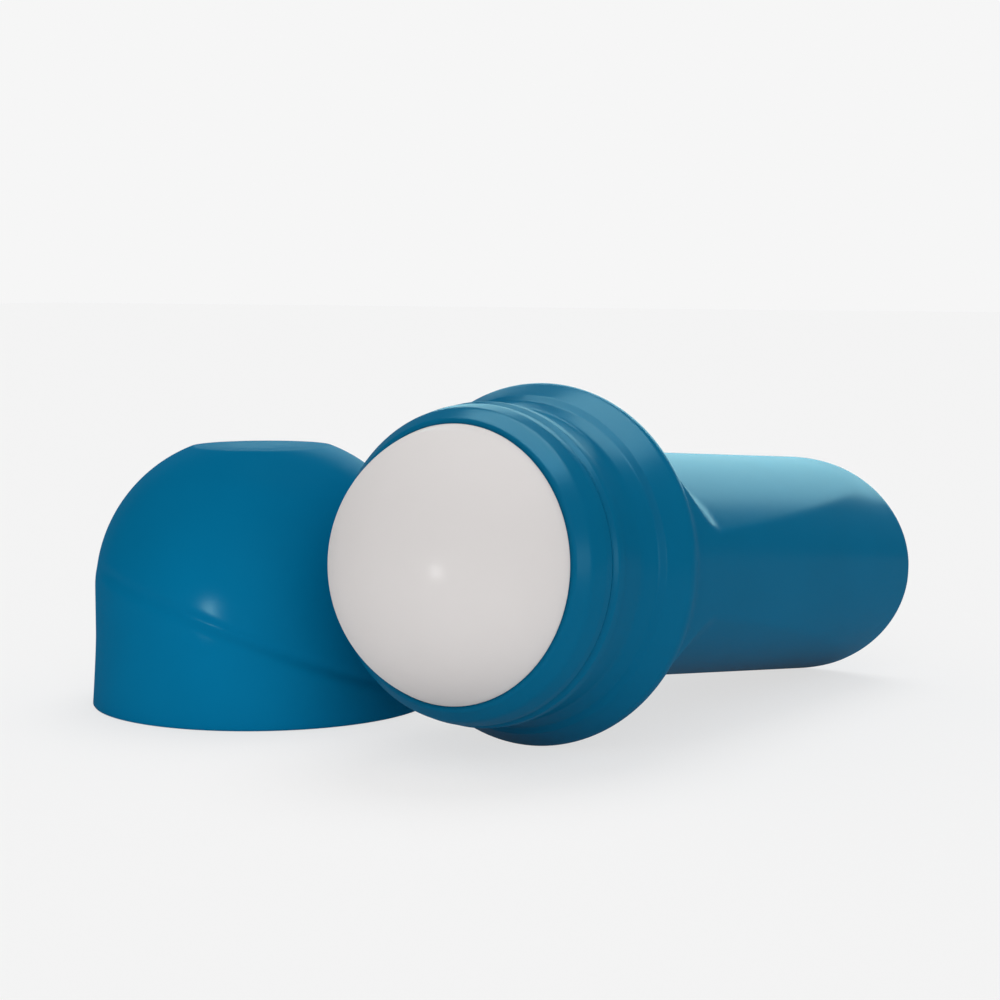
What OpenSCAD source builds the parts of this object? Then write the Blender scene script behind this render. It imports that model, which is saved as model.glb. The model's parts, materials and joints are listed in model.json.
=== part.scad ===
// Roll-on deodorant, open: the bottle lies on its back face and the cap stands beside it on its mouth.
// Row frame: +Z up, X along the bottle from ball to base, origin under the middle of the whole part.
// The bottle's own modules are drawn upright on its base, about the Z axis, and then laid down.

/* [Ball] */
// Diameter of the roller ball
ball_d = 35.5; // [32:0.5:38]
// Wall of the hollow ball
ball_wall = 1.2; // [0.8:0.1:2]

/* [Bottle body] */
// Height from the base to the widest line of the flange
body_h = 73.5; // [62:0.5:90]
// Width across the rounded sides at the base
base_w = 39; // [37:0.2:40]
// Width across the rounded sides under the flange
waist_w = 41.6; // [40:0.2:42.4]
// Thickness at the base, where the section is a plain oval
base_t = 32; // [30:0.2:34]
// Radius of the oval's broad sides at the base
base_side_r = 22.6; // [20:0.2:26]
// Radius of the oval's quarters at the base, between its broad and narrow sides
base_quarter_r = 20; // [19.8:0.1:20.6]
// How far the quarters' centre of curvature is set back behind the bottle's axis
quarter_back = 2.8; // [2:0.1:3]
// Thickness over the two faces at the base, where they run out
face_t = 32.2; // [31:0.1:33]
// Thickness over the two faces where the scoop begins
waist_t = 29.9; // [27:0.2:32]
// Radius of each face, measured across the bottle
face_r = 27.5; // [24:0.5:32]
// Rounding of the base edge
base_edge_r = 2; // [2:0.1:4]
// Wall of the blown bottle
bottle_wall = 1.3; // [1:0.1:1.6]

/* [Flange] */
// How far the flange stands out from the seat ring
flange_out = 2.25; // [1.8:0.05:3]
// Rounding of the flange towards the body
flange_back_r = 3; // [2.5:0.1:3.5]
// Rounding of the flange towards the ball
flange_front_r = 3.6; // [3:0.1:4]
// Radius of the fillet where the flange meets the rounded sides
side_fillet_r = 6; // [4:0.5:8]
// Radius of the scoop where each face rises to the flange
scoop_r = 10.8; // [9:0.2:12]
// Length of the scoop, from the widest line of the flange
scoop_h = 12.9; // [12:0.1:16]

/* [Neck] */
// Height of the seat ring over the widest line of the flange
seat_rise = 4.45; // [4:0.05:5]
// How far the seat ring stands out from the neck
seat_out = 1.25; // [1:0.05:1.5]
// Height of the neck over the seat ring
neck_h = 9.05; // [8:0.05:12]
// Wall of the neck
neck_wall = 0.75; // [0.6:0.05:1]
// How far the snap bead stands out from the neck
bead_out = 0.5; // [0.3:0.05:0.7]
// Length of the bead's straight top
bead_land = 1.4; // [1:0.1:2]
// Distance from the bead to the rim of the neck
bead_drop = 0.15; // [0.1:0.05:0.5]

/* [Ball housing] */
// Height of the ball's centre over the rim of the neck
ball_rise = 0.6; // [0.3:0.1:1.5]
// Height of the lip over the ball's centre
lip_rise = 5; // [4:0.1:6]
// Width of the lip's sloping face
lip_face = 0.7; // [0.4:0.1:1]
// How far the collar stands out from the neck
collar_out = 0.15; // [0.05:0.05:0.3]
// Depth of the groove between the collar and the bead
groove = 0.35; // [0.2:0.05:0.4]
// How far the collar bulges over a straight cone
collar_bulge = 0.5; // [0.2:0.05:0.7]
// Wall of the plug that sits in the neck
plug_wall = 0.85; // [0.7:0.05:1.1]
// Depth of the plug under the ball's centre
plug_h = 9; // [8:0.1:11]
// Wall of the round socket under the ball
socket_wall = 1; // [0.8:0.05:1.2]
// Diameter of the opening that feeds the ball
feed_d = 14; // [10:0.5:18]
// Diameter of the drain holes around it
drain_d = 2.4; // [1.5:0.1:3]
// Number of drain holes
drain_count = 4; // [3:1:8]
// Angle of the drain holes from the bottle's axis
drain_angle = 50; // [42:1:56]

/* [Cap] */
// How far the rim of the cap stands out past the flange
cap_over = 0.7; // [0.5:0.05:1.5]
// How much the skirt narrows above its rim
cap_draft = 0.45; // [0.2:0.05:0.6]
// Height over which the skirt narrows
draft_h = 10; // [6:0.5:10.5]
// Wall of the cap's side
cap_wall = 1.4; // [1.2:0.05:1.5]
// Wall of the cap's top
cap_top_wall = 1.5; // [1.2:0.1:2]
// Space between the ball and the top of the closed cap
cap_headroom = 5.6; // [2:0.2:8]
// Radius of the flat top
cap_top_r = 9.7; // [7:0.1:11]
// Distance of the dome's centre of curvature from the cap's axis
dome_in = 2.1; // [0:0.1:4]
// How far the skirt stands out under the slanted step
cap_step = 0.2; // [0.15:0.05:0.4]
// Middle height of the slanted step
step_z = 10.9; // [10:0.1:13]
// How far the step rises and falls around the cap
step_lift = 9.1; // [6:0.1:9.5]
// Direction of the high side of the step
step_turn = 134; // [0:1:360]
// Wall of the inner ring that grips the bead
ring_wall = 0.7; // [0.6:0.05:0.9]
// Height of the inner ring over the rim of the cap
ring_z = 3.2; // [2.5:0.1:5]
// Height of the catch rib inside the ring
rib_h = 1; // [0.8:0.1:1.4]

/* [Contents] */
// Height of the liquid over the surface that the bottle lies on
fill_z = 26.5; // [12:0.5:30]

/* [Fits] */
// Running gap between the ball and its socket
ball_gap = 0.15; // [0.1:0.01:0.2]
// Gap between the plug and the bore of the neck
plug_gap = 0.05; // [0.03:0.01:0.1]
// Gap between the cap's ring and the bead
ring_gap = 0.2; // [0.1:0.05:0.3]
// Gap between the liquid and the walls around it
fill_gap = 0.1; // [0.05:0.05:0.15]

/* [Placing of the cap] */
// Space between the cap and the flange
cap_space = 1.45; // [1:0.05:20]
// How far the cap's axis stands behind the ball's centre
cap_back = 18.4; // [0:0.1:60]

/* [Hidden] */
$fn = 96;
blue = [0.04, 0.38, 0.53];
grey = [0.84, 0.82, 0.81];
milky = [0.93, 0.95, 0.95, 0.6];
// A length past every edge, for cuts that run right through
past = 60;

// Radii of the head, from the ball outwards
ball_r = ball_d / 2;
socket_r = ball_r + ball_gap;
plug_r = socket_r + plug_wall;
bore_r = plug_r + plug_gap;
neck_r = bore_r + neck_wall;
bead_r = neck_r + bead_out;
seat_r = neck_r + seat_out;
flange_r = seat_r + flange_out;

// Heights on the upright bottle
seat_h = body_h + seat_rise;
rim_h = seat_h + neck_h;
ball_h = rim_h + ball_rise;

// Fillet under the flange: it touches the side and the flange's back rounding
waist_r = waist_w / 2;
base_r = base_w / 2;
fillet_reach = side_fillet_r + flange_back_r;
fillet_dr = waist_r + side_fillet_r - flange_r + flange_back_r;
fillet_a = acos(fillet_dr / fillet_reach);
fillet_h = body_h - fillet_reach * sin(fillet_a);

// Front of the flange: a straight slope from the seat ring that touches the front rounding
slope_dr = seat_r - flange_r + flange_front_r;
slope_a = atan2(seat_rise, slope_dr) - acos(flange_front_r / norm([slope_dr, seat_rise]));

// Broad sides of the oval and faces: each is a round surface about an axis set back behind the bottle's
side_back = base_side_r - base_t / 2;
oval_open = 0.5;
face_back = face_r - waist_t / 2;
scoop_a = 75;

// Cap, closed height and radii
cap_r = flange_r + cap_over;
dome_edge_r = cap_r - cap_draft - cap_step;
cap_in_r = dome_edge_r - cap_wall;
cap_seat_h = seat_h - (cap_in_r - seat_r) / tan(slope_a);
cap_h = ball_h + ball_r - cap_seat_h + cap_headroom + cap_top_wall;
dome_r = dome_edge_r - dome_in;
dome_z = cap_h - sqrt(pow(dome_r, 2) - pow(cap_top_r - dome_in, 2));
ring_in_r = bead_r + ring_gap;
ring_r = ring_in_r + ring_wall;
ring_top = dome_z + sqrt(pow(dome_r - 0.3 * cap_wall, 2) - pow(ring_r - dome_in, 2));
rib_r = (neck_r + bead_r) / 2;
rib_z = rim_h - bead_drop - 2 * bead_out - bead_land - cap_seat_h - rib_h / 2;

// Lying pose: the flange's back rounding and the base edge both touch the surface below
roll_h = body_h - base_edge_r;
roll_dr = flange_r - flange_back_r - base_t / 2 + base_edge_r;
tilt = atan2(roll_dr, roll_h) - asin((base_edge_r - flange_back_r) / norm([roll_h, roll_dr]));
lie_z = base_edge_r * (1 - sin(tilt)) + (base_t / 2 - base_edge_r) * cos(tilt);

// Middle of the whole part, seen from above
ball_x = -ball_h * cos(tilt);
end_x = base_edge_r * (1 - cos(tilt)) + (base_t / 2 - base_edge_r) * sin(tilt);
cap_y = flange_r + cap_space + cap_r;
mid_x = (ball_x - ball_r + end_x) / 2;
mid_y = (cap_y + cap_r - flange_r) / 2;

// Points of an arc of n steps about c, from angle a to angle b
function arc(c, r, a, b, n) = [for (i = [0:n]) c + r * [cos(a + (b - a) * i / n), sin(a + (b - a) * i / n)]];

// Side outline from the base edge to the seat ring, set in from the outside by w
function side_points(w) = concat(
    arc([base_r - base_edge_r, base_edge_r], base_edge_r - w, -90, 0, 4),
    arc([waist_r + side_fillet_r, fillet_h], side_fillet_r + w, 180, 180 - fillet_a, 5),
    arc([flange_r - flange_back_r, body_h], flange_back_r - w, -fillet_a, 0, 4),
    arc([flange_r - flange_front_r, body_h], flange_front_r - w, 0, slope_a, 4),
    [[seat_r - w * cos(slope_a), seat_h - w * sin(slope_a)]]
);

// Outline of the neck above the seat ring, with its fillet and bead
function neck_points() = let (bead_h = rim_h - bead_drop - bead_out - bead_land) concat(
    arc([seat_r, seat_h + seat_out], seat_out, -90, -180, 4),
    [[neck_r, bead_h - bead_out], [bead_r, bead_h], [bead_r, bead_h + bead_land]],
    [[neck_r, rim_h - bead_drop], [neck_r, rim_h]]
);

// Outline of a side of the oval about its own axis, which lies back behind the bottle's, set in by w:
// its radius is r at the base, and it opens to clear the round section under the flange
function oval_points(r, back, w) = concat(
    [[0, -past], [r - base_edge_r, -past]],
    arc([r - base_edge_r, base_edge_r], base_edge_r - w, -90, 0, 4),
    [[back + waist_r + oval_open - w, fillet_h], [back + past, fillet_h]],
    [[back + past, rim_h + past], [0, rim_h + past]]
);

// Outline of a face about its own axis, set in by w: nearly straight, then scooped out to the flange
function face_points(w) = concat(
    [[0, -past], [face_back + face_t / 2 - w, -past], [face_back + face_t / 2 - w, 0]],
    arc([face_r + scoop_r, body_h - scoop_h], scoop_r + w, 180, 180 - scoop_a, 8),
    [[face_r + past, body_h - scoop_h + scoop_r + w]],
    [[face_r + past, rim_h + past], [0, rim_h + past]]
);

// Space between the two faces and inside the oval
module between_faces(w) {
    intersection_for(y = [-1, 1]) intersection() {
        translate([0, y * side_back, 0]) rotate_extrude() polygon(oval_points(base_side_r, side_back, w));
        translate([0, y * quarter_back, 0]) rotate_extrude() polygon(oval_points(base_quarter_r, quarter_back, w));
        translate([0, y * face_back, 0]) rotate_extrude() polygon(face_points(w));
    }
}

// Lays the upright bottle down with its front face up and its nose towards -X
module lay_down() {
    translate([-mid_x, -mid_y, lie_z])
        rotate([0, tilt, 0]) rotate([0, 0, -90]) rotate([90, 0, 0]) children();
}

module bottle() {
    w = bottle_wall;
    bore_h = seat_h - w * sin(slope_a) + seat_r - w * cos(slope_a) - bore_r;
    color(blue) lay_down() difference() {
        intersection() {
            rotate_extrude() polygon(concat([[0, 0]], side_points(0), neck_points(), [[0, rim_h]]));
            between_faces(0);
        }
        intersection() {
            rotate_extrude() polygon(concat(
                [[0, w]], side_points(w), [[bore_r, bore_h], [bore_r, rim_h + past], [0, rim_h + past]]
            ));
            between_faces(w);
        }
    }
}

// Outline of the housing about the ball's centre: collar, lip, socket and plug
function housing_points() = let (
    foot = -ball_rise,
    lip_in_r = sqrt(pow(socket_r, 2) - pow(lip_rise, 2)),
    lip_out = [lip_in_r + lip_face * sin(45), lip_rise - lip_face * cos(45)],
    collar_foot = [neck_r + collar_out, foot + groove],
    chord = lip_out - collar_foot,
    steps = 5,
    cup_r = socket_r + socket_wall,
    cup_join = -sqrt(pow(cup_r, 2) - pow(socket_r, 2)),
    feed_r = feed_d / 2
) concat(
    [[plug_r, foot], [neck_r + collar_out - groove, foot]],
    [for (i = [0:steps]) let (s = i / steps)
        collar_foot + s * chord + 4 * s * (1 - s) * collar_bulge * [chord[1], -chord[0]] / norm(chord)],
    arc([0, 0], socket_r, asin(lip_rise / socket_r), -acos(feed_r / socket_r), 26),
    arc([0, 0], cup_r, -acos(feed_r / cup_r), atan2(cup_join, socket_r), 12),
    [[socket_r, -plug_h], [plug_r, -plug_h]]
);

module ball_housing() {
    color(blue) lay_down() translate([0, 0, ball_h]) difference() {
        rotate_extrude() polygon(housing_points());
        for (i = [0:drain_count - 1])
            rotate([0, 180 - drain_angle, (i + 0.5) * 360 / drain_count]) cylinder(d = drain_d, h = past);
    }
}

module ball() {
    color(grey) lay_down() translate([0, 0, ball_h]) difference() {
        sphere(r = ball_r);
        sphere(r = ball_r - ball_wall);
    }
}

// Outline of the cap's outside, set out from the dome by s, with the rim at radius r
function dome_points(s, r) = concat(
    [[0, 0], [r, 0], [dome_edge_r + s, draft_h]],
    arc([dome_in, dome_z], dome_r + s, 0, asin((cap_h - dome_z) / (dome_r + s)), 10),
    [[0, cap_h]]
);

// Hollow of the cap, inside its wall and top
function hollow_points() = let (r = dome_r - cap_wall, top = cap_h - cap_top_wall) concat(
    [[0, -past], [cap_in_r, -past]],
    arc([dome_in, dome_z], r, 0, asin((top - dome_z) / r), 8),
    [[0, top]]
);

module cap() {
    color(blue) translate([ball_x + cap_back - mid_x, cap_y - mid_y, 0]) {
        difference() {
            union() {
                rotate_extrude() polygon(dome_points(0, dome_edge_r));
                intersection() {
                    rotate_extrude() polygon(dome_points(cap_step, cap_r));
                    rotate([0, 0, step_turn]) translate([0, 0, step_z])
                        rotate([0, -atan(step_lift / cap_r), 0])
                            translate([-past, -past, -2 * past]) cube(2 * past);
                }
            }
            rotate_extrude() polygon(hollow_points());
        }
        rotate_extrude() polygon([
            [ring_in_r, ring_z], [ring_r, ring_z], [ring_r, ring_top], [ring_in_r, ring_top],
            [ring_in_r, rib_z + rib_h / 2], [rib_r, rib_z], [ring_in_r, rib_z - rib_h / 2]
        ]);
    }
}

module deodorant_fluid() {
    w = bottle_wall + fill_gap;
    top = seat_h - w * sin(slope_a);
    color(milky) intersection() {
        lay_down() difference() {
            intersection() {
                rotate_extrude() polygon(concat([[0, w]], side_points(w), [[0, top]]));
                between_faces(w);
            }
            translate([0, 0, ball_h]) sphere(r = socket_r + socket_wall + fill_gap);
        }
        translate([-2 * past, -2 * past, fill_z - 2 * past]) cube([4 * past, 4 * past, 2 * past]);
    }
}

bottle();
ball_housing();
ball();
cap();
deodorant_fluid();
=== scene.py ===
import json
from math import acos, asin, atan2, cos, hypot, pi, radians, sin, sqrt, tan
import bmesh
import bpy
import numpy as np
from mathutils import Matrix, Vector


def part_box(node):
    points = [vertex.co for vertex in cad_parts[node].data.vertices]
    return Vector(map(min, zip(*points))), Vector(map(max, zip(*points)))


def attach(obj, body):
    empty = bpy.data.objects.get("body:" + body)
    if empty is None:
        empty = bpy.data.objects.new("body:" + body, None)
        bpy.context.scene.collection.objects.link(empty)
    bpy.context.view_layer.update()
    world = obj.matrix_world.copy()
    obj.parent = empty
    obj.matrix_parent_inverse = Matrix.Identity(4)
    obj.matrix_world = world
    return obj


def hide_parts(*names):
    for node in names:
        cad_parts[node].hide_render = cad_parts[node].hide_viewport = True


# Roll-on deodorant, open: the bottle lies on its back face and the cap stands beside it on its mouth.
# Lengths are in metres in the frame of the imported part, with +Z up and X along the lying bottle.
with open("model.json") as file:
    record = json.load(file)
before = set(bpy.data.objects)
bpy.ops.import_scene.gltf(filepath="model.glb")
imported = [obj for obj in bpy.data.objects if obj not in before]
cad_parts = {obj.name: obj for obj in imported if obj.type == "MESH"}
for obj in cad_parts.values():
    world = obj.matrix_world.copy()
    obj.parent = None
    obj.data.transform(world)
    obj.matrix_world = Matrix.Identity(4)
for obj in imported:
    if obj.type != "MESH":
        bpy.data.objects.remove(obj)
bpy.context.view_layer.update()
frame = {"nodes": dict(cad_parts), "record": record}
mm = 0.001


# Bottle
# The real piece is blow-moulded in one from satin blue plastic: a slim body with two shallow curved
# faces, a round flange that the cap closes against, and a neck with a snap bead.
# The collar with the ball is pressed into its mouth, so nothing else holds it.
base_w = 39 * mm
waist_w = 41.6 * mm
base_t = 32 * mm
oval_waist_t = waist_w + 1 * mm
body_h = 73.5 * mm
base_edge_r = 2 * mm
bottle_wall = 1.3 * mm
flange_r = 23.05 * mm
flange_back_r = 3 * mm
flange_front_r = 3.6 * mm
flange_land = 0.48 * mm
flange_curve = 1.9 * mm
side_fillet_r = 6 * mm
seat_r = 20.8 * mm
seat_h = body_h + 4.45 * mm
seat_edge_r = 21.3 * mm
seat_edge_h = body_h + 3.75 * mm
seat_edge_curve = 0.5 * mm
seat_top_r = 20.5 * mm
seat_top_h = body_h + 4.38 * mm
seat_top_curve = 0.8 * mm
neck_r = 19.55 * mm
neck_foot_h = body_h + 6.7 * mm
neck_foot_curve = 3 * mm
neck_wall = 0.75 * mm
bore_r = neck_r - neck_wall
rim_h = seat_h + 9.05 * mm
rim_curve = 0.12 * mm
bead_out = 0.5 * mm
bead_land = 1.4 * mm
bead_drop = 0.15 * mm
bead_h = rim_h - bead_drop - bead_out - bead_land
bead_curve = 0.45 * mm
bead_foot_curve = 0.6 * mm
bead_top_curve = 0.1 * mm
face_r = 25.6 * mm
face_t = 32.2 * mm
face_waist_t = 29.9 * mm
scoop_r = 10.8 * mm
scoop_h = 12.9 * mm
crease_blend = 0.2 * mm
bottle_turns = 280
row_step = 0.45 * mm
inside_row_step = 4 * mm
fillet_steps = 12
flange_back_steps = 14
flange_front_steps = 10
neck_corner_steps = 7
base_steps = 8
base_rings = (0.5, 0.97)


def arc(centre, r, start, end, steps):
    """Points of an arc about centre, with its angles in degrees."""
    angles = np.radians(np.linspace(start, end, steps + 1))
    return [(centre[0] + r * cos(a), centre[1] + r * sin(a)) for a in angles]


def line(start, end, step):
    """Evenly spaced points from start to end, without the ends."""
    steps = max(1, round(hypot(end[0] - start[0], end[1] - start[1]) / step))
    return [(start[0] + (end[0] - start[0]) * i / steps, start[1] + (end[1] - start[1]) * i / steps)
            for i in range(1, steps)]


def round_corners(corners, steps=5):
    """Outline through corner points (radius, height, rounding), each corner turned into an arc."""
    out = [corners[0][:2]]
    for before, here, after in zip(corners, corners[1:], corners[2:]):
        p = Vector(here[:2])
        to_before = (Vector(before[:2]) - p).normalized()
        to_after = (Vector(after[:2]) - p).normalized()
        turn = pi - to_before.angle(to_after)
        if here[2] == 0 or turn < 0.01:
            out.append(here[:2])
            continue
        reach = here[2] * tan(turn / 2)
        centre = p + (to_before + to_after).normalized() * here[2] / cos(turn / 2)
        first = p + to_before * reach - centre
        side = 1 if first.cross(p + to_after * reach - centre) > 0 else -1
        heading = atan2(first.y, first.x)
        for i in range(steps + 1):
            a = heading + side * turn * i / steps
            out.append((centre.x + here[2] * cos(a), centre.y + here[2] * sin(a)))
    return out + [corners[-1][:2]]


def soft_min(a, b, width):
    """The smaller of a and b, with the crease between them rounded over the given width."""
    near = np.maximum(width - np.abs(a - b), 0) / width
    return np.minimum(a, b) - near * near * width / 4


def turned_mesh(name, radii, heights, place, closed=False):
    """A mesh from rows of radii, one row for each height and one column for each direction.
    A row whose radius is zero closes to a point, and place sets a point in the frame."""
    turns = radii.shape[1]
    angle = np.arange(turns) * 2 * pi / turns
    points = np.stack([
        radii * np.cos(angle),
        radii * np.sin(angle),
        np.broadcast_to(heights, radii.shape),
    ], -1)
    bm = bmesh.new()
    loops = []
    for row in points:
        if np.ptp(row[:, 0]) == 0 and np.ptp(row[:, 1]) == 0:
            loops.append([bm.verts.new(place(row[0]))] * turns)
        else:
            loops.append([bm.verts.new(place(p)) for p in row])
    pairs = list(zip(loops, loops[1:])) + ([(loops[-1], loops[0])] if closed else [])
    for low, high in pairs:
        for i in range(turns):
            j = (i + 1) % turns
            corners = []
            for v in (low[i], low[j], high[j], high[i]):
                if v not in corners:
                    corners.append(v)
            if len(corners) > 2:
                bm.faces.new(corners)
    bmesh.ops.recalc_face_normals(bm, faces=bm.faces)
    mesh = bpy.data.meshes.new(name)
    bm.to_mesh(mesh)
    bm.free()
    mesh.shade_smooth()
    piece = bpy.data.objects.new(name, mesh)
    bpy.context.scene.collection.objects.link(piece)
    return piece


# The lying bottle's axis, from its base to its nose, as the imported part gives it
mounts = {m["name"]: m for m in frame["record"]["mounts"]}
base_point = Vector(mounts["bottle_base"]["pos_m"])
nose = -Vector(mounts["bottle_base"]["axis"]).normalized()
across = Vector((0, 1, 0))
face_up = across.cross(nose).normalized()


def lay_down(p):
    """A point of the upright bottle, in its place on the lying one."""
    return base_point + across * p[0] + face_up * p[1] + nose * p[2]


fillet_reach = side_fillet_r + flange_back_r
fillet_dr = waist_w / 2 + side_fillet_r - flange_r + flange_back_r
fillet_turn = acos(fillet_dr / fillet_reach)
fillet_h = body_h - fillet_reach * sin(fillet_turn)
slope_dr = seat_r - flange_r + flange_front_r
slope_turn = atan2(seat_h - body_h, slope_dr) - acos(flange_front_r / hypot(slope_dr, seat_h - body_h))


def side_outline(wall, step):
    """Outline of the bottle through its narrow sides, from the base to the seat ring, set in by wall."""
    turned = np.degrees(fillet_turn)
    foot = (base_w / 2 - wall, base_edge_r)
    fillet_centre = (waist_w / 2 + side_fillet_r, fillet_h)
    fillet = arc(fillet_centre, side_fillet_r + wall, 180, 180 - turned, fillet_steps)
    back_centre = (flange_r - flange_back_r, body_h)
    back = arc(back_centre, flange_back_r - wall, -turned, 0, flange_back_steps)
    front_centre = (flange_r - flange_front_r, body_h)
    front = arc(front_centre, flange_front_r - wall, 0, np.degrees(slope_turn), flange_front_steps)
    seat = (seat_r - wall * cos(slope_turn), seat_h - wall * sin(slope_turn))
    side = [foot] + line(foot, fillet[0], step) + fillet
    return side + back[1:] + front[1:] + line(front[-1], seat, step) + [seat]


def face_reach(height):
    """Radius of each face about its own axis, nearly straight and then scooped out to the flange."""
    face_back = face_r - face_waist_t / 2
    scoop_start = body_h - scoop_h
    straight = face_back + face_t / 2 + (face_waist_t - face_t) / 2 * height / scoop_start
    into_scoop = np.clip(height - scoop_start, 0, scoop_r)
    scooped = face_r + scoop_r - np.sqrt(scoop_r**2 - into_scoop**2)
    return face_back, np.where(height < scoop_start, straight, scooped)


def body_radii(outline, wall, turns):
    """Radii all round for each point of the outline, cut back to the oval body and its two faces."""
    side_r = np.array([p[0] for p in outline])[:, None]
    height = np.array([p[1] for p in outline])[:, None]
    angle = (np.arange(turns) * 2 * pi / turns)[None, :]
    width = base_w / 2 + (waist_w - base_w) / 2 * height / fillet_h
    depth = base_t / 2 + (oval_waist_t - base_t) / 2 * height / fillet_h
    oval = 1 / np.sqrt((np.cos(angle) / width) ** 2 + (np.sin(angle) / depth) ** 2) - wall
    oval = np.where(height < fillet_h, oval, side_r)
    face_back, reach = face_reach(height)
    face_line = np.sqrt((reach - wall) ** 2 - (face_back * np.cos(angle)) ** 2)
    face = face_line - face_back * np.abs(np.sin(angle))
    radii = soft_min(np.minimum(side_r, oval), face, crease_blend)
    return np.minimum(radii, side_r)


# Rows of the bottle: base and its edge, body and flange, neck and bead, then the bore and the inside
edge_h = [base_edge_r * (1 - cos(pi / 2 * i / base_steps)) for i in range(base_steps)]
edge_in = [base_edge_r - sqrt(base_edge_r**2 - (base_edge_r - h) ** 2) for h in edge_h]
outside = [p for p in side_outline(0, row_step) if p[1] < body_h]
neck = round_corners([
    (flange_r, body_h, 0),
    (flange_r, body_h + flange_land, flange_curve),
    (seat_edge_r, seat_edge_h, seat_edge_curve),
    (seat_top_r, seat_top_h, seat_top_curve),
    (neck_r, neck_foot_h, neck_foot_curve),
    (neck_r, bead_h - bead_out, bead_foot_curve),
    (neck_r + bead_out, bead_h, bead_curve),
    (neck_r + bead_out, bead_h + bead_land, bead_curve),
    (neck_r, rim_h - bead_drop, bead_top_curve),
    (neck_r, rim_h, rim_curve),
    (bore_r, rim_h, rim_curve),
    (bore_r, seat_h, 0),
], steps=neck_corner_steps)
inside = side_outline(bottle_wall, inside_row_step)[::-1]
edge_rows = body_radii([(base_w / 2, h) for h in edge_h], 0, bottle_turns) - np.array(edge_in)[:, None]
outer_rows = body_radii(outside, 0, bottle_turns)
neck_rows = np.repeat([[p[0]] for p in neck], bottle_turns, 1)
inner_rows = body_radii(inside, bottle_wall, bottle_turns)
inner_foot = inner_rows[-1:] - (base_edge_r - bottle_wall)
centre_row = np.zeros((1, bottle_turns))
base_rows = np.concatenate([centre_row] + [edge_rows[:1] * share for share in base_rings])
floor_rows = np.concatenate([inner_foot, inner_foot * base_rings[0], centre_row])
radii = np.concatenate([base_rows, edge_rows, outer_rows, neck_rows, inner_rows, floor_rows])
side_heights = [p[1] for p in outside + neck + inside]
heights = [0] * len(base_rows) + edge_h + side_heights + [bottle_wall] * len(floor_rows)
heights = np.array(heights)[:, None]
bottle = turned_mesh("bottle_shell", radii, heights, lay_down)


def make_moulded_surface():
    """Node group for moulded plastic: cloudy pigment, gloss that varies a little, and fine grain."""
    group = bpy.data.node_groups.new("moulded_surface", "ShaderNodeTree")
    group.interface.new_socket("Colour", in_out="INPUT", socket_type="NodeSocketColor")
    for name in ("Cloudiness", "Roughness", "Gloss Change", "Grain Scale"):
        group.interface.new_socket(name, in_out="INPUT", socket_type="NodeSocketFloat")
    group.interface.new_socket("Colour", in_out="OUTPUT", socket_type="NodeSocketColor")
    for name in ("Roughness", "Height"):
        group.interface.new_socket(name, in_out="OUTPUT", socket_type="NodeSocketFloat")
    nodes, links = group.nodes, group.links
    inputs = nodes.new("NodeGroupInput")
    outputs = nodes.new("NodeGroupOutput")
    place = nodes.new("ShaderNodeTexCoord")
    cloud = nodes.new("ShaderNodeTexNoise")
    cloud.inputs["Scale"].default_value = 60
    cloud.inputs["Detail"].default_value = 3
    grain = nodes.new("ShaderNodeTexNoise")
    grain.inputs["Detail"].default_value = 2
    links.new(place.outputs["Object"], cloud.inputs["Vector"])
    links.new(place.outputs["Object"], grain.inputs["Vector"])
    links.new(inputs.outputs["Grain Scale"], grain.inputs["Scale"])
    tone = nodes.new("ShaderNodeMapRange")
    tone.inputs["From Min"].default_value = 0.3
    tone.inputs["From Max"].default_value = 0.7
    links.new(cloud.outputs["Fac"], tone.inputs["Value"])
    for end, sign in (("To Min", "SUBTRACT"), ("To Max", "ADD")):
        level = nodes.new("ShaderNodeMath")
        level.operation = sign
        level.inputs[0].default_value = 1
        links.new(inputs.outputs["Cloudiness"], level.inputs[1])
        links.new(level.outputs[0], tone.inputs[end])
    shade = nodes.new("ShaderNodeVectorMath")
    shade.operation = "SCALE"
    links.new(inputs.outputs["Colour"], shade.inputs[0])
    links.new(tone.outputs["Result"], shade.inputs["Scale"])
    links.new(shade.outputs[0], outputs.inputs["Colour"])
    gloss = nodes.new("ShaderNodeMath")
    gloss.operation = "MULTIPLY_ADD"
    links.new(cloud.outputs["Fac"], gloss.inputs[0])
    links.new(inputs.outputs["Gloss Change"], gloss.inputs[1])
    links.new(inputs.outputs["Roughness"], gloss.inputs[2])
    links.new(gloss.outputs[0], outputs.inputs["Roughness"])
    links.new(grain.outputs["Fac"], outputs.inputs["Height"])
    return group


moulded_surface = make_moulded_surface()
skin_roughness = 0.25


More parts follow.
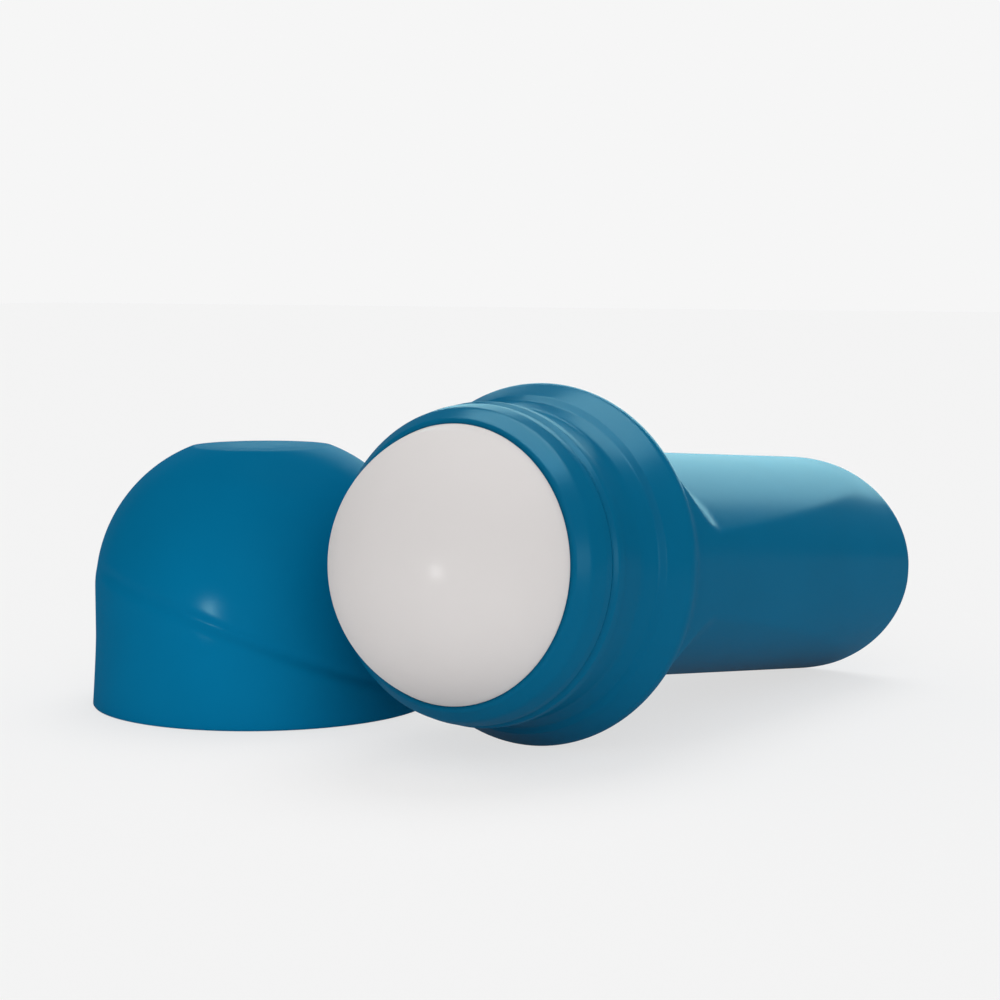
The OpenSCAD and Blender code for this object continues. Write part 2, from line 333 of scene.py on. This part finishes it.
def moulded_plastic(name, colour, roughness, skin=0, cloudiness=0.03, gloss_change=0.06,
                    grain_scale=4000, grain_depth=0.002 * mm):
    """Material of a moulded piece, with its pigment colour as the surface shows it.
    Where it has a satin skin, only that faint, broad coat over the pigment shines."""
    material = bpy.data.materials.new(name)
    material.use_nodes = True
    nodes, links = material.node_tree.nodes, material.node_tree.links
    shader = nodes["Principled BSDF"]
    surface = nodes.new("ShaderNodeGroup")
    surface.node_tree = moulded_surface
    surface.inputs["Colour"].default_value = (*colour, 1)
    surface.inputs["Cloudiness"].default_value = cloudiness
    surface.inputs["Roughness"].default_value = roughness
    surface.inputs["Gloss Change"].default_value = gloss_change
    surface.inputs["Grain Scale"].default_value = grain_scale
    bump = nodes.new("ShaderNodeBump")
    bump.inputs["Distance"].default_value = grain_depth
    links.new(surface.outputs["Colour"], shader.inputs["Base Color"])
    links.new(surface.outputs["Roughness"], shader.inputs["Roughness"])
    links.new(surface.outputs["Height"], bump.inputs["Height"])
    links.new(bump.outputs["Normal"], shader.inputs["Normal"])
    if skin > 0:
        shader.inputs["Specular IOR Level"].default_value = 0
        shader.inputs["Coat Weight"].default_value = skin
        shader.inputs["Coat Roughness"].default_value = skin_roughness
    return material


bottle_blue = (0.001, 0.122, 0.243)
bottle_plastic = moulded_plastic("bottle_blue", bottle_blue, 0.27, skin=0.08)
bottle.data.materials.append(bottle_plastic)
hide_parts("bottle")
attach(bottle, "bottle")


# Ball housing
# One moulding in the same blue plastic: the collar and lip that show around the ball, and inside them
# the round socket that the ball turns in, with holes that feed it and drain back into the bottle.
# Its plug is pressed into the bore of the neck.
ball_low, ball_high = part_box("ball")
ball_centre = (ball_low + ball_high) / 2
ball_r = (ball_high.z - ball_low.z) / 2
ball_h = (ball_centre - base_point).dot(nose)
socket_r = ball_r + 0.15 * mm
plug_r = socket_r + 0.85 * mm
plug_h = 9 * mm
cup_r = socket_r + 1 * mm
feed_r = 7 * mm
drain_r = 1.2 * mm
drain_angle = radians(50)
drain_count = 4
drill_sides = 24
drill_spare = 1 * mm
lip_rise = 5 * mm
lip_gap = 0.03 * mm
lip_edge_r = 17.75 * mm
lip_edge_h = 4.75 * mm
lip_edge_curve = 0.7 * mm
socket_top_h = 0.85 * lip_rise
shoulder_r = 19.1 * mm
shoulder_h = 3.1 * mm
shoulder_curve = 2.2 * mm
collar_r = neck_r + 0.15 * mm
collar_foot_curve = 0.25 * mm
collar_top_r = collar_r - 0.05 * mm
collar_top_h = 1 * mm
collar_top_curve = 2 * mm
groove_r = neck_r - 0.2 * mm
groove = 0.35 * mm
groove_floor = 0.2 * mm
groove_curve = 0.08 * mm
housing_turns = 192
housing_corner_steps = 8
socket_steps = 40
cup_steps = 20


def around_ball(p):
    """A point given about the ball's centre, in its place on the lying bottle."""
    return lay_down((p[0], p[1], p[2] + ball_h))


def housing_outline():
    """Closed outline of the housing about the ball's centre, from the plug's shoulder round to its foot."""
    foot = rim_h - ball_h
    lip_in = sqrt((ball_r + lip_gap) ** 2 - lip_rise**2)
    outer = round_corners([
        (plug_r, foot, 0),
        (groove_r, foot, 0),
        (groove_r, foot + groove_floor, groove_curve),
        (collar_r, foot + groove, collar_foot_curve),
        (collar_top_r, collar_top_h, collar_top_curve),
        (shoulder_r, shoulder_h, shoulder_curve),
        (lip_edge_r, lip_edge_h, lip_edge_curve),
        (lip_in, lip_rise, 0),
    ], steps=housing_corner_steps)
    socket_top = np.degrees(asin(socket_top_h / socket_r))
    socket_end = -np.degrees(acos(feed_r / socket_r))
    socket = arc((0, 0), socket_r, socket_top, socket_end, socket_steps)
    cup_start = -np.degrees(acos(feed_r / cup_r))
    cup_join = np.degrees(atan2(-sqrt(cup_r**2 - socket_r**2), socket_r))
    cup = arc((0, 0), cup_r, cup_start, cup_join, cup_steps)
    return outer + socket + cup + [(socket_r, -plug_h), (plug_r, -plug_h)]


outline = np.array(housing_outline())
housing_rows = np.repeat(outline[:, :1], housing_turns, 1)
housing = turned_mesh("collar_and_socket", housing_rows, outline[:, 1:], around_ball, closed=True)

# Drain holes, drilled through the socket between the feed hole and the plug
drills = bpy.data.meshes.new("drills")
bm = bmesh.new()
for i in range(drain_count):
    turn = (i + 0.5) * 2 * pi / drain_count
    outward = sin(drain_angle)
    heading = Vector((outward * cos(turn), outward * sin(turn), -cos(drain_angle)))
    sideways = heading.cross(Vector((0, 0, 1))).normalized()
    third = heading.cross(sideways)
    rims = []
    for reach in (socket_r - drill_spare, cup_r + drill_spare):
        ring = [heading * reach + sideways * drain_r * cos(a) + third * drain_r * sin(a)
                for a in np.arange(drill_sides) * 2 * pi / drill_sides]
        rims.append([bm.verts.new(around_ball(p)) for p in ring])
    for k in range(drill_sides):
        bm.faces.new((rims[0][k], rims[0][k - 1], rims[1][k - 1], rims[1][k]))
    bm.faces.new(rims[0])
    bm.faces.new(rims[1])
bmesh.ops.recalc_face_normals(bm, faces=bm.faces)
bm.to_mesh(drills)
bm.free()
drill_piece = bpy.data.objects.new("drills", drills)
bpy.context.scene.collection.objects.link(drill_piece)
cut = housing.modifiers.new("drain holes", "BOOLEAN")
cut.object = drill_piece
cut.operation = "DIFFERENCE"
bpy.context.view_layer.update()
drilled = bpy.data.meshes.new_from_object(housing.evaluated_get(bpy.context.evaluated_depsgraph_get()))
housing.modifiers.clear()
housing.data = drilled
bpy.data.objects.remove(drill_piece)

housing_plastic = moulded_plastic("collar_blue", bottle_blue, 0.25, skin=0.08)
housing.data.materials.clear()
housing.data.materials.append(housing_plastic)
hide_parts("ball_housing")
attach(housing, "bottle")


# Ball
# A hollow roller ball in pale warm grey plastic, ground round and smooth, 35.5 mm across.
# It floats in its socket and turns freely, and it carries the liquid out on its surface.
ball_turns = 160
ball_steps = 96


def sphere_rows(r, steps):
    """Radius and height of a sphere's rows, from its lowest point to its highest."""
    angles = np.linspace(-pi / 2, pi / 2, steps + 1)
    radii = np.cos(angles) * r
    radii[[0, -1]] = 0
    return radii, np.sin(angles) * r


ball_radii, ball_heights = sphere_rows(ball_r, ball_steps)
ball_rows = np.repeat(ball_radii[:, None], ball_turns, 1)
ball = turned_mesh("roller_ball", ball_rows, ball_heights[:, None], around_ball)
ball_grey = (0.75, 0.72, 0.71)
ball_plastic = moulded_plastic("ball_grey", ball_grey, 0.3, skin=0.03, cloudiness=0.012, gloss_change=0.04,
                               grain_scale=2500, grain_depth=0.001 * mm)
ball.data.materials.append(ball_plastic)
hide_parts("ball")
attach(ball, "ball")


# Cap
# One injection moulding in the blue of the bottle: a skirt with a slanted step all round, a dome with a
# small dished top, and inside it a ring whose rib snaps behind the neck's bead.
# It is off the bottle and stands on its mouth.
cap_low, cap_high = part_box("cap")
cap_centre = (cap_low + cap_high) / 2
cap_h = cap_high.z
cap_r = (cap_high.x - cap_low.x) / 2
cap_wall = 1.4 * mm
cap_top_wall = 1.5 * mm
dome_edge_r = cap_r - 0.65 * mm
dome_in = 2.1 * mm
cap_top_r = 9.7 * mm
dome_r = dome_edge_r - dome_in
dome_z = cap_h - sqrt(dome_r**2 - (cap_top_r - dome_in) ** 2)
flare_h = 10 * mm
flare_power = 1.3
cap_step = 0.45 * mm
cap_step_least = 0.08 * mm
step_z = 9.6 * mm
step_lift = 9.1 * mm
step_turn = radians(134)
step_soft = 1.5 * mm
step_blend = step_soft / 6
step_groove = 0.3 * mm
step_groove_rise = 0.6 * step_soft
step_groove_w = 0.5 * step_soft
step_groove_fade = 0.03
dish = 0.35 * mm
rim_insets = ((0.4 * mm, 0), (0.15 * mm, 0.08 * mm), (0.03 * mm, 0.25 * mm))
skirt_foot_h = 0.4 * mm
mouth_chamfer_h = 0.3 * mm
mouth_chamfer = 0.25 * mm
ring_in_r = neck_r + bead_out + 0.2 * mm
ring_r = ring_in_r + 0.7 * mm
ring_z = 3.2 * mm
ring_root = 0.3 * cap_wall
ring_edge_curve = 0.15 * mm
rib_r = neck_r + bead_out / 2
rib_h = 1 * mm
rib_z = 10.4 * mm
rib_curve = 0.15 * mm
rib_foot_curve = 0.2 * mm
cap_turns = 240
cap_row_step = 0.3 * mm
cap_inside_row_step = 1.2 * mm
dome_steps = 60
dome_inside_steps = 20
stepped_dome_rows = 40
top_rings = np.linspace(0.97, 0, 16)
under_top_ring = 0.6
ring_turns = 120
ring_corner_steps = 4


def stand_cap(p):
    """A point about the cap's axis, in its place beside the bottle."""
    return Vector((cap_centre.x + p[0], cap_centre.y + p[1], p[2]))


def cap_outside():
    """Rows of the cap's outside, from the rim up the skirt and over the dome to the middle of the top."""
    rim = [(cap_r - inset, rise) for inset, rise in rim_insets]
    skirt = line((cap_r, skirt_foot_h), (dome_edge_r, dome_z), cap_row_step)
    dome = arc((dome_in, dome_z), dome_r, 0, np.degrees(asin((cap_h - dome_z) / dome_r)), dome_steps)
    edge = dome[-1]
    top = [(edge[0] * s, cap_h - dish * (1 - s * s) ** 2) for s in top_rings]
    return rim, skirt, dome, top


rim, skirt, dome, top = cap_outside()
outline = np.array(rim + skirt + dome + top)
height = outline[:, 1:]
on_side = np.arange(len(outline))[:, None] < len(rim) + len(skirt) + stepped_dome_rows
side_r = np.where(height < dome_z, dome_edge_r, outline[:, :1])

# The step stands out most where it is low, and a shallow groove runs along its upper side
angle = (np.arange(cap_turns) * 2 * pi / cap_turns)[None, :]
crease_z = step_z + step_lift * np.cos(angle - step_turn)
lowness = (1 - np.cos(angle - step_turn)) / 2
step_out = cap_step_least + (cap_step - cap_step_least) * lowness
flare = np.clip(1 - height / flare_h, 0, 1) ** flare_power
skirt_out = step_out + (cap_r - dome_edge_r - step_out) * flare
below_step = 1 / (1 + np.exp((height - crease_z) / step_blend))
from_groove = (height - crease_z - step_groove_rise) / step_groove_w
dip = step_groove * (1 - np.exp(-lowness / step_groove_fade)) * np.exp(-from_groove**2)
radii = np.where(on_side, side_r + skirt_out * below_step - dip, outline[:, :1])
radii[:len(rim)] = outline[:len(rim), :1]

# The inside, from the middle of the top down to the mouth
inner_dome_r = dome_r - cap_wall
inner_top = cap_h - cap_top_wall
inner_r = dome_edge_r - cap_wall
inner_turn = np.degrees(asin((inner_top - dome_z) / inner_dome_r))
inner = arc((dome_in, dome_z), inner_dome_r, inner_turn, 0, dome_inside_steps)
under = [(0, inner_top), (inner[0][0] * under_top_ring, inner_top)] + inner
under += line((inner_r, dome_z), (inner_r, mouth_chamfer_h), cap_inside_row_step)
under += [(inner_r, mouth_chamfer_h), (inner_r + mouth_chamfer, 0)]
under = np.array(under)
radii = np.concatenate([radii, np.repeat(under[:, :1], cap_turns, 1)])
heights = np.concatenate([outline[:, 1:], under[:, 1:]])
cap = turned_mesh("cap_shell", radii, heights, stand_cap, closed=True)

# The ring that grips the bead, with its catch rib, moulded to the inside of the dome
ring_top = dome_z + sqrt((dome_r - ring_root) ** 2 - (ring_r - dome_in) ** 2)
ring_outline = np.array(round_corners([
    (ring_in_r, ring_top, 0),
    (ring_in_r, rib_z + rib_h / 2, rib_foot_curve),
    (rib_r, rib_z, rib_curve),
    (ring_in_r, rib_z - rib_h / 2, rib_foot_curve),
    (ring_in_r, ring_z, ring_edge_curve),
    (ring_r, ring_z, ring_edge_curve),
    (ring_r, ring_top, 0),
], steps=ring_corner_steps))
ring_rows = np.repeat(ring_outline[:, :1], ring_turns, 1)
ring = turned_mesh("grip_ring", ring_rows, ring_outline[:, 1:], stand_cap, closed=True)

cap_blue = (0.0005, 0.135, 0.276)
cap_plastic = moulded_plastic("cap_blue", cap_blue, 0.3, skin=0.025)
for piece in (cap, ring):
    piece.data.materials.append(cap_plastic)
    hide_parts("cap")
    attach(piece, "cap")


# Liquid
# The milky liquid that the bottle holds, at its level in the lying bottle. The blue shell hides it.
milky_white = (0.85, 0.87, 0.87)
fluid = frame["nodes"]["deodorant_fluid"]
fluid_material = moulded_plastic("milky_liquid", milky_white, 0.08, cloudiness=0.05, gloss_change=0.02,
                                 grain_scale=300, grain_depth=0.005 * mm)
fluid.data.materials.clear()
fluid.data.materials.append(fluid_material)


# Floor, light and camera
# A pale floor that runs into a backdrop of the same tone, an even fill from all round, two large soft
# lights for the pieces' tone, a low bounce at the cap's skirt, and lights that only shine on the plastic.
# Together they light a surface at about its own colour.
camera_place = Vector((-0.27337, -0.18694, 0.06012))
camera_yaw = 0.58763
camera_pitch = 0.09635
picture_px = 1000
focal_px = 2374.6
sensor_w = 36
pale = (0.922, 0.922, 0.922)
floor_size = 6.0
floor_glow = 0.72
fill_level = 0.61
backdrop_full = radians(28)
backdrop_end = radians(60)
backdrop_least = 0.12


def show_pale(nodes, links, lit, shown):
    """Mixes two shaders so that the camera, and what shines or lets light through, see the second one."""
    path = nodes.new("ShaderNodeLightPath")
    seen = path.outputs["Is Camera Ray"]
    for ray in ("Is Glossy Ray", "Is Transmission Ray"):
        either = nodes.new("ShaderNodeMath")
        either.operation = "MAXIMUM"
        links.new(seen, either.inputs[0])
        links.new(path.outputs[ray], either.inputs[1])
        seen = either.outputs[0]
    mix = nodes.new("ShaderNodeMixShader")
    links.new(seen, mix.inputs["Fac"])
    links.new(lit, mix.inputs[1])
    links.new(shown, mix.inputs[2])
    return mix.outputs[0]


floor_mesh = bpy.data.meshes.new("floor")
half = floor_size / 2
floor_corners = [(-half, -half, 0), (half, -half, 0), (half, half, 0), (-half, half, 0)]
floor_mesh.from_pydata(floor_corners, [], [(0, 1, 2, 3)])
floor = bpy.data.objects.new("floor", floor_mesh)
bpy.context.scene.collection.objects.link(floor)
floor_material = bpy.data.materials.new("pale_floor")
floor_material.use_nodes = True
nodes, links = floor_material.node_tree.nodes, floor_material.node_tree.links
nodes.clear()
lit = nodes.new("ShaderNodeBsdfDiffuse")
lit.inputs["Color"].default_value = (*pale, 1)
glow = nodes.new("ShaderNodeEmission")
glow.inputs["Color"].default_value = (*pale, 1)
blend = nodes.new("ShaderNodeMixShader")
blend.inputs["Fac"].default_value = floor_glow
links.new(lit.outputs[0], blend.inputs[1])
links.new(glow.outputs[0], blend.inputs[2])
out = nodes.new("ShaderNodeOutputMaterial")
links.new(show_pale(nodes, links, lit.outputs[0], blend.outputs[0]), out.inputs["Surface"])
floor_mesh.materials.append(floor_material)

# The backdrop fades to both sides, where the camera doesn't look
world = bpy.data.worlds.new("studio")
bpy.context.scene.world = world
world.use_nodes = True
nodes, links = world.node_tree.nodes, world.node_tree.links
nodes.clear()
fill = nodes.new("ShaderNodeBackground")
fill.inputs["Strength"].default_value = fill_level
backdrop = nodes.new("ShaderNodeBackground")
backdrop.inputs["Color"].default_value = (*pale, 1)
place = nodes.new("ShaderNodeTexCoord")
ahead = nodes.new("ShaderNodeVectorMath")
ahead.operation = "DOT_PRODUCT"
ahead.inputs[1].default_value = (cos(camera_yaw), sin(camera_yaw), 0)
links.new(place.outputs["Generated"], ahead.inputs[0])
width = nodes.new("ShaderNodeMapRange")
width.interpolation_type = "SMOOTHSTEP"
width.inputs["From Min"].default_value = cos(backdrop_end)
width.inputs["From Max"].default_value = cos(backdrop_full)
width.inputs["To Min"].default_value = backdrop_least
width.inputs["To Max"].default_value = 1
links.new(ahead.outputs["Value"], width.inputs["Value"])
links.new(width.outputs["Result"], backdrop.inputs["Strength"])
out = nodes.new("ShaderNodeOutputWorld")
links.new(show_pale(nodes, links, fill.outputs[0], backdrop.outputs[0]), out.inputs["Surface"])


def lamp(name, kind, place, target, power):
    """A lamp at a place, turned towards a point."""
    data = bpy.data.lights.new(name, kind)
    data.energy = power
    holder = bpy.data.objects.new(name, data)
    holder.location = place
    holder.rotation_euler = (Vector(target) - Vector(place)).to_track_quat("-Z", "Y").to_euler()
    bpy.context.scene.collection.objects.link(holder)
    return holder


def sun(name, turn, height, angle, power):
    """A soft light from far off, turned from the camera's line of sight and raised, in degrees."""
    heading = camera_yaw + radians(turn)
    place = (cos(heading) * cos(radians(height)), sin(heading) * cos(radians(height)), sin(radians(height)))
    holder = lamp(name, "SUN", place, (0, 0, 0), power)
    holder.data.angle = radians(angle)
    return holder


def light_only(name, pieces):
    """A set of the pieces that a lamp shines on."""
    group = bpy.data.collections.new(name)
    for piece in pieces:
        group.objects.link(piece)
    return group


# Two soft lights give the pieces their tone, one from the camera's side and one from above
front = sun("front", turn=180, height=28, angle=50, power=0.85)
overhead = sun("overhead", turn=-20, height=68, angle=42, power=1.05)

# These give only the shine of the plastic: from above, from low behind, from low at the right, on the
# ball, and as a small spot on the cap
shine_tint = (0.55, 1, 1)
sky = sun("sky_shine", turn=0, height=88, angle=68, power=26)
back = sun("back_shine", turn=-11, height=19, angle=40, power=5.4)
side = sun("side_shine", turn=-148, height=8, angle=20, power=1.0)
beside = lamp("beside_camera", "AREA", place=(-0.36, -0.06, 0.03), target=(-0.03, 0, 0.02), power=1.6)
beside.data.size = 0.03
glint = lamp("cap_glint", "SPOT", place=(-0.0779, 0.0132, 0.0104), target=(-0.0383, 0.0151, 0.0163),
             power=0.4)
glint.data.shadow_soft_size = 0.003
glint.data.spot_size = radians(7)
glint.data.spot_blend = 1
glint.visible_camera = False

# A weak one lights the cap's skirt from close to the floor, as the floor's own bounce does
bounce = lamp("cap_bounce", "AREA", place=(-0.078, -0.004, 0.002), target=(-0.045, 0.02, 0.002),
              power=0.009)
bounce.data.size = 0.02
bounce.visible_camera = False

for holder in (front, overhead, bounce):
    holder.visible_glossy = False
for holder in (sky, back, side, beside, glint):
    holder.visible_diffuse = False
for holder in (sky, back, side, glint):
    holder.data.color = shine_tint
bounce.light_linking.receiver_collection = light_only("cap_skirt", (cap,))
sky.light_linking.receiver_collection = light_only("bottle_side", (bottle, housing))
side.light_linking.receiver_collection = light_only("bottle_flange", (bottle, housing))
beside.light_linking.receiver_collection = light_only("ball_side", (ball,))
glint.light_linking.receiver_collection = light_only("cap_side", (cap,))

level = cos(camera_pitch)
sight = Vector((cos(camera_yaw) * level, sin(camera_yaw) * level, -sin(camera_pitch)))
camera = bpy.data.cameras.new("camera")
camera.sensor_width = sensor_w
camera.lens = focal_px * sensor_w / picture_px
camera.clip_start = 0.01
holder = bpy.data.objects.new("camera", camera)
holder.location = camera_place
holder.rotation_euler = sight.to_track_quat("-Z", "Y").to_euler()
bpy.context.scene.collection.objects.link(holder)
bpy.context.scene.camera = holder
bpy.context.scene.view_settings.view_transform = "Standard"
